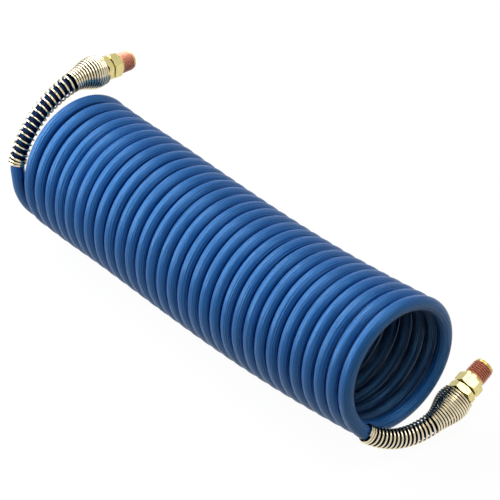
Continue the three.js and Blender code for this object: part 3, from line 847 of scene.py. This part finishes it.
class AIRHOSE_OT_guards(bpy.types.Operator):
    """Winds the spring guard of each end: a barrel over the nut's tail, open turns along the bend"""

    bl_idname = "airhose.guards"
    bl_label = "Spring guards"

    def execute(self, context):
        settings = context.scene.air_hose.guard
        material = plated_wire(settings.colour)
        route = Route()
        for end in "ab":
            piece = surface(f"guard_wire_{end}", *self.wire(settings, route, end))
            dress(piece, material, BODY_OF_END[end], "spring_wire", f"spring_guard_{end}")
        return {"FINISHED"}

    def wire(self, settings, route, end):
        """Round wire wound about the hose. Its distance back from the collar grows by the close
        pitch for each close turn, and evenly over the open turns."""
        collar = route.on_axis(end, -SEAT_GAP - WIRE_RADIUS)
        far, near = route.nearest(guard_start(end)), route.nearest(collar)
        length = abs(near - far)
        barrel = settings.barrel_turns * settings.closed_pitch
        narrow_from = length - settings.closed_turns * settings.closed_pitch
        knots = np.cumsum([0, settings.barrel_turns, settings.open_turns, settings.closed_turns])
        count = round(2 * np.pi * GUARD_TURN_RADIUS * knots[-1] / settings.wire_step)
        turn = np.linspace(0, knots[-1], count + 1)
        back = np.interp(turn, knots, [0, barrel, narrow_from, length])
        centre, side, up = route.at(near + np.sign(far - near) * back)
        if end == "a":
            up = -up  # both guards are wound the same way
        radius = self.radius(settings, back, length, barrel)
        angle = 2 * np.pi * turn
        outward = np.cos(angle)[:, None] * side + np.sin(angle)[:, None] * up
        wire = centre + radius[:, None] * outward
        tangent = unit(np.gradient(wire, axis=0))
        across = unit(outward - tangent * np.einsum("ij,ij->i", outward, tangent)[:, None])
        grid = tube(wire, across, np.cross(tangent, across), WIRE_RADIUS, settings.wire_sides)
        return grid, tube_texture(lengths_along(wire), WIRE_RADIUS, settings.wire_sides)

    @staticmethod
    def radius(settings, back, length, barrel):
        """Of the wire's centre: half waves from the seat up to the crest and down to the neck,
        then a fall with the square of what is left down to the narrow end."""
        seat = NUT_TAIL_RADIUS + GUARD_SEAT_LIFT + WIRE_RADIUS
        crest = settings.barrel_diameter / 2 - WIRE_RADIUS
        narrow = HOSE_RADIUS + GUARD_PLAY + WIRE_RADIUS
        neck = narrow + GUARD_NECK_GROWTH
        widest = GUARD_CREST_SHARE * barrel
        rise = lerp(seat, crest, smooth(back / widest))
        fall = lerp(crest, neck, smooth((back - widest) / (barrel - widest)))
        left = np.clip(1 - (back - barrel) / (length - barrel), 0, 1)
        taper = lerp(narrow, neck, left**2)
        return np.where(back < widest, rise, np.where(back < barrel, fall, taper))


def hexagon_limit(angle):
    """Radius of a hexagon's side at each angle, with a corner at angle 0."""
    sector = np.pi / 3
    from_flat = (angle % sector) - sector / 2
    return HEX_ACROSS_FLATS / 2 / np.cos(from_flat)


HEX_CONE_STEPS = 9


def hexagon_outline(rear, front):
    """The turned-off corners of a hexagon: a shallow cone at each end, in fine steps."""
    share = np.linspace(0, 1, HEX_CONE_STEPS)
    rise = HEX_CHAMFER * math.tan(math.pi / 6)
    cone = lerp(HEX_CORNER - HEX_CHAMFER, HEX_CORNER, share)
    return [*zip(cone, rear + rise * share), *zip(cone[::-1], front - rise * share[::-1])]


class AIRHOSE_OT_nuts(bpy.types.Operator):
    """Turns the nut of each end: a hexagonal collar with a tail that the guard sits on"""

    bl_idname = "airhose.nuts"
    bl_label = "Hose nuts"

    def execute(self, context):
        settings = context.scene.air_hose.fitting
        material = brass(settings.brass, shaded_to=-BRASS_SHADE_FADE)  # just short of the collar
        web_bore = SHANK_RADIUS + SEAT_GAP
        outline = [
            (NUT_BORE, -NUT_TAIL_LENGTH),
            (NUT_TAIL_RADIUS - EDGE, -NUT_TAIL_LENGTH),
            (NUT_TAIL_RADIUS, -NUT_TAIL_LENGTH + EDGE),
            (NUT_TAIL_RADIUS, 0),
            *hexagon_outline(0, COLLAR_LENGTH),
            (web_bore + EDGE, COLLAR_LENGTH),
            (web_bore, COLLAR_LENGTH - EDGE),
            (web_bore, COLLAR_LENGTH - NUT_WEB),
            (NUT_BORE, COLLAR_LENGTH - NUT_WEB),
        ]
        grid = turned(outline, settings.sides, hexagon_limit)
        fitting_pieces("hose_nut", grid, material, "brass")
        return {"FINISHED"}


THREAD_ROWS = 14  # of the mesh, for each thread
THREAD_V = 1.25  # height of the full V in thread depths, of which the root stays flat
THREAD_CREST = 0.06  # the V starts this much above the crest, which stays flat too


class AIRHOSE_OT_stems(bpy.types.Operator):
    """Turns the swivel stem of each end, with a hexagon, a neck and a cut taper thread"""

    bl_idname = "airhose.stems"
    bl_label = "Swivel stems"

    def execute(self, context):
        settings = context.scene.air_hose.fitting
        coat_from = STEM_NECK_FRONT - NECK_STEP
        coat_to = coat_from + settings.sealed_length
        material = sealed_brass(settings.brass, settings.sealant, coat_from, coat_to)
        fitting_pieces("swivel_stem", self.grid(settings), material, "sealed_brass", STEM_BODY)
        return {"FINISHED"}

    def grid(self, settings):
        """The stem's outline turned: outside from the gap to the thread's tip, a row for each part
        of a thread, and back inside through the bore, the bearing and the ring's groove."""
        snap = COLLAR_LENGTH + SNAP_PLACE
        snap_depth = STEM_BEARING + SNAP_GROOVE_DEPTH - BEARING_CLEARANCE / 2
        behind = [
            *hexagon_outline(STEM_REAR, STEM_HEX_FRONT),
            (STEM_NECK_RADIUS, STEM_HEX_FRONT),
            (STEM_NECK_RADIUS, STEM_NECK_FRONT - NECK_STEP - NECK_CHAMFER),
            (STEM_NECK_RADIUS - NECK_CHAMFER, STEM_NECK_FRONT - NECK_STEP),
        ]
        rows = round(THREAD_LENGTH / settings.thread_pitch * THREAD_ROWS)
        height = np.linspace(STEM_NECK_FRONT, STEM_TIP, rows)
        cone = np.linspace(THREAD_OD / 2, THREAD_TIP_RADIUS, rows)
        inside = [
            (STEM_BORE / 2 + EDGE, STEM_TIP),
            (STEM_BORE / 2, STEM_TIP - EDGE),
            (STEM_BORE / 2, COUNTERBORE_FLOOR),
            (STEM_BEARING, COUNTERBORE_FLOOR),
            (STEM_BEARING, snap + SNAP_GROOVE_WIDTH / 2),
            (snap_depth, snap + SNAP_GROOVE_WIDTH / 2),
            (snap_depth, snap - SNAP_GROOVE_WIDTH / 2),
            (STEM_BEARING, snap - SNAP_GROOVE_WIDTH / 2),
            (STEM_BEARING, STEM_REAR + EDGE),
            (STEM_BEARING + EDGE, STEM_REAR),
        ]
        outline = [*behind, *zip(cone, height), *inside]
        grid = turned(outline, settings.sides, hexagon_limit)
        cut = slice(len(behind), len(behind) + rows)
        grid[cut] = self.threaded(grid[cut], settings)
        return grid

    def threaded(self, grid, settings):
        """Cuts a V groove along a right-handed helix: its depth follows the distance from the
        crest, fades in over the first half thread and is limited by the chamfer at the tip. The
        sealant adds its thickness, which fades out over one thread at the end of the coat."""
        x, height, z = np.moveaxis(grid, -1, 0)
        radius, angle = np.hypot(x, z), np.arctan2(x, z)
        share = (height / settings.thread_pitch + angle / (2 * np.pi)) % 1
        groove = np.clip(THREAD_V * (1 - np.abs(2 * share - 1)) - THREAD_CREST, 0, 1)
        start = smooth((height - STEM_NECK_FRONT) / (settings.thread_pitch / 2))
        end = STEM_NECK_FRONT + settings.sealed_length
        coat = settings.coat_thickness * (1 - smooth((height - end) / settings.thread_pitch + 0.5))
        chamfer = THREAD_TIP_RADIUS - THREAD_TIP_CHAMFER + STEM_TIP - height
        radius = np.minimum(radius + (coat - settings.thread_depth * groove) * start, chamfer)
        return np.stack([radius * np.sin(angle), height, radius * np.cos(angle)], -1)


O_RING_SIDES = 16  # round its section
SNAP_SIDES = 12  # round the retaining ring's wire
SNAP_RINGS = 49  # along it


class AIRHOSE_OT_inner_pieces(bpy.types.Operator):
    """Turns what each fitting holds: ferrule, barbed insert, O-ring, retaining ring and washer"""

    bl_idname = "airhose.inner_pieces"
    bl_label = "Inner pieces"

    def execute(self, context):
        settings = context.scene.air_hose.fitting
        sides, metal = settings.sides, steel()
        nitrile = soft_black("nitrile", (0.012,) * 3, 0.45)
        acetal = soft_black("acetal", (0.02,) * 3, 0.35)
        fitting_pieces("crimp_ferrule", self.ferrule(sides), metal, "ferrule_steel")
        fitting_pieces("barbed_insert", self.insert(sides), brass(settings.brass), "brass")
        fitting_pieces("o_ring", self.o_ring(sides), nitrile, "nitrile")
        fitting_pieces("thrust_washer", self.washer(sides), acetal, "washer_plastic")
        fitting_pieces("retaining_ring", self.retaining_ring(), metal, "ferrule_steel", wrap_rows=False)
        return {"FINISHED"}

    def ferrule(self, sides):
        """A plain ring with a bevelled mouth, turned."""
        front, lip = HOSE_END - SEAT_GAP, FERRULE_WALL / 2
        rear = front - FERRULE_LENGTH
        return turned([
            (FERRULE_INNER, rear + lip), (FERRULE_INNER + lip, rear), (FERRULE_OUTER, rear),
            (FERRULE_OUTER, front), (FERRULE_INNER, front),
        ], sides)

    def insert(self, sides):
        """The bore, barbs that rise to their crest and drop, the flange and a spigot with two
        square grooves, turned."""
        bore, crest = INSERT_BORE / 2, HOSE_BORE_RADIUS - SEAT_GAP
        valley, rear = bore + BARB_VALLEY_WALL, FLANGE_BACK - BARB_LENGTH
        pitch = BARB_LENGTH / BARB_COUNT
        depth = O_RING_SECTION + 2 * O_RING_PLAY - BEARING_CLEARANCE
        outline = [(bore, rear)]
        for barb in range(BARB_COUNT):
            start = rear + barb * pitch
            outline += [(valley, start), (crest, start + BARB_CREST_SHARE * pitch)]
        outline += [(valley, FLANGE_BACK), (FLANGE_RADIUS, FLANGE_BACK)]
        outline += [(FLANGE_RADIUS, FLANGE_FRONT), (SHANK_RADIUS, FLANGE_FRONT)]
        grooves = (
            (O_RING_PLACE, O_RING_GROOVE_WIDTH, depth),
            (SNAP_PLACE, SNAP_GROOVE_WIDTH, SNAP_GROOVE_DEPTH),
        )
        for place, width, deep in grooves:
            low, high = COLLAR_LENGTH + place - width / 2, COLLAR_LENGTH + place + width / 2
            floor = SHANK_RADIUS - deep
            outline += [(SHANK_RADIUS, low), (floor, low), (floor, high), (SHANK_RADIUS, high)]
        bevel = [(SHANK_RADIUS, SPIGOT_FRONT - SEAT_GAP), (SHANK_RADIUS - SEAT_GAP, SPIGOT_FRONT)]
        return turned([*outline, *bevel, (bore, SPIGOT_FRONT)], sides)

    def o_ring(self, sides):
        """A circle turned about the fitting's axis."""
        angle = circle(O_RING_SIDES)
        radius = STEM_BEARING - O_RING_PLAY - O_RING_SECTION / 2 * (1 - np.cos(angle))
        height = COLLAR_LENGTH + O_RING_PLACE + O_RING_SECTION / 2 * np.sin(angle)
        return turned(list(zip(radius, height)), sides)

    def washer(self, sides):
        """A flat ring with a bevelled rim, turned."""
        middle, inner = COLLAR_LENGTH + SWIVEL_GAP / 2, SHANK_RADIUS + SEAT_GAP
        low, high = middle - WASHER_THICKNESS / 2, middle + WASHER_THICKNESS / 2
        outer, bevel = WASHER_OD / 2, WASHER_THICKNESS / 5
        return turned([
            (inner, low), (outer - bevel, low), (outer, low + bevel),
            (outer, high - bevel), (outer - bevel, high), (inner, high),
        ], sides)

    def retaining_ring(self):
        """Round wire bent to a circle that stays open on one side."""
        angle = np.linspace(SNAP_OPENING / 2, 2 * np.pi - SNAP_OPENING / 2, SNAP_RINGS)
        outward = np.stack([np.cos(angle), np.zeros(SNAP_RINGS), np.sin(angle)], -1)
        middle = np.array([0, COLLAR_LENGTH + SNAP_PLACE, 0])
        centre = middle + (SHANK_RADIUS + BEARING_CLEARANCE / 2) * outward
        up = np.tile([0.0, 1.0, 0.0], (SNAP_RINGS, 1))
        return tube(centre, outward, up, SNAP_WIRE / 2, SNAP_SIDES)


# -------------------- stage

FLOOR_SIZE = 12.0
FLOOR_GREY = 0.06
FLOOR_GLOW = 0.96
FLOOR_MIRRORED = 0.85
WORLD_MIRRORED = 0.65
SENSOR_WIDTH = 36  # in millimetres

# Each lamp's bearing and height in degrees, distance from the aim, width and length.
LAMPS = {
    "side_light": (-47, 26, 1.2, 0.9, 1.4),
    "rear_light": (-90, 44, 1.5, 0.9, 1.1),
    "top_light": (118, 70, 1.5, 1.2, 1.0),
}


class AIRHOSE_OT_stage(bpy.types.Operator):
    """Sets the white floor, the soft lights and the camera"""

    bl_idname = "airhose.stage"
    bl_label = "Stage"

    def execute(self, context):
        settings = context.scene.air_hose.stage
        scene = context.scene
        scene.view_settings.view_transform = "Standard"
        aim = Vector(settings.aim) + Vector(SHIFT)
        self.camera(scene, settings, aim)
        self.floor(scene)
        self.world(scene, settings.ambient)
        for name, lamp in LAMPS.items():
            self.lamp(scene, name, aim, getattr(settings, name), *lamp)
        return {"FINISHED"}

    def aimed(self, scene, data, aim, azimuth, elevation, distance):
        """Adds a camera or lamp at a distance from the aim, at a bearing from -Y towards +X and a
        height above the horizon, and turns it to the aim."""
        flat = math.cos(elevation)
        back = Vector((math.sin(azimuth) * flat, -math.cos(azimuth) * flat, math.sin(elevation)))
        added = bpy.data.objects.new(data.name, data)
        scene.collection.objects.link(added)
        added.location = aim + back * distance
        added.rotation_euler = (-back).to_track_quat("-Z", "Y").to_euler()
        return added

    def camera(self, scene, settings, aim):
        data = bpy.data.cameras.new("camera")
        data.lens = settings.lens
        data.sensor_width = SENSOR_WIDTH
        place = (settings.azimuth, settings.elevation, settings.distance)
        scene.camera = self.aimed(scene, data, aim, *place)

    def floor(self, scene):
        """A large level square at the height that the hose lies on. It is a dark grey that the
        lamps shade, and shows white where it is seen and paler than it is where it is mirrored."""
        half = FLOOR_SIZE / 2
        mesh = bpy.data.meshes.new("floor")
        corners = [(-half, -half, 0), (half, -half, 0), (half, half, 0), (-half, half, 0)]
        mesh.from_pydata(corners, [], [range(4)])
        floor = bpy.data.objects.new("floor", mesh)
        scene.collection.objects.link(floor)
        board = Board("white_floor")
        glow = board.mix(board.shown(FLOOR_MIRRORED) * FLOOR_GLOW, (0, 0, 0), (1, 1, 1))
        board.finish(
            Base_Color=(FLOOR_GREY, FLOOR_GREY, FLOOR_GREY, 1), Roughness=0.9,
            Specular_IOR_Level=0.0, Emission_Color=glow, Emission_Strength=1.0,
        )
        mesh.materials.append(board.material)

    def world(self, scene, ambient):
        """A faint light from all round, which is seen as white and mirrored as a paler grey."""
        world = bpy.data.worlds.new("studio")
        world.use_nodes = True
        scene.world = world
        nodes = NodeTree(world.node_tree)
        background = world.node_tree.nodes["Background"]
        nodes.put(background.inputs["Color"], (1, 1, 1, 1))
        strength = nodes.shown(WORLD_MIRRORED) * (1 - ambient) + ambient
        nodes.put(background.inputs["Strength"], strength)

    def lamp(self, scene, name, aim, power, azimuth, elevation, distance, width, length):
        data = bpy.data.lights.new(name, "AREA")
        data.shape = "RECTANGLE"
        data.size, data.size_y = width, length
        data.energy = power
        self.aimed(scene, data, aim, math.radians(azimuth), math.radians(elevation), distance)


# -------------------- panel


class AIRHOSE_PT_panel(bpy.types.Panel):
    bl_idname = "AIRHOSE_PT_panel"
    bl_label = "Air Hose"
    bl_space_type = "VIEW_3D"
    bl_region_type = "UI"
    bl_category = "Air Hose"

    def draw(self, context):
        settings = context.scene.air_hose
        for name in ("hose", "guard", "fitting", "stage"):
            group = getattr(settings, name)
            box = self.layout.box()
            box.label(text=name.capitalize())
            for key in group.bl_rna.properties.keys():
                if key not in {"rna_type", "name"}:
                    box.prop(group, key)
        for operator in OPERATORS:
            self.layout.operator(operator.bl_idname)


OPERATORS = (
    AIRHOSE_OT_stage,
    AIRHOSE_OT_hose,
    AIRHOSE_OT_guards,
    AIRHOSE_OT_nuts,
    AIRHOSE_OT_stems,
    AIRHOSE_OT_inner_pieces,
)
CLASSES = (
    HoseSettings,
    GuardSettings,
    FittingSettings,
    StageSettings,
    AirHoseSettings,
    *OPERATORS,
    AIRHOSE_PT_panel,
)


def register():
    for cls in CLASSES:
        bpy.utils.register_class(cls)
    bpy.types.Scene.air_hose = PointerProperty(type=AirHoseSettings)


def unregister():
    del bpy.types.Scene.air_hose
    for cls in reversed(CLASSES):
        bpy.utils.unregister_class(cls)


def main():
    register()
    bpy.ops.airhose.stage()
    bpy.ops.airhose.hose()
    bpy.ops.airhose.guards()
    bpy.ops.airhose.nuts()
    bpy.ops.airhose.stems()
    bpy.ops.airhose.inner_pieces()


if __name__ == "__main__":
    main()
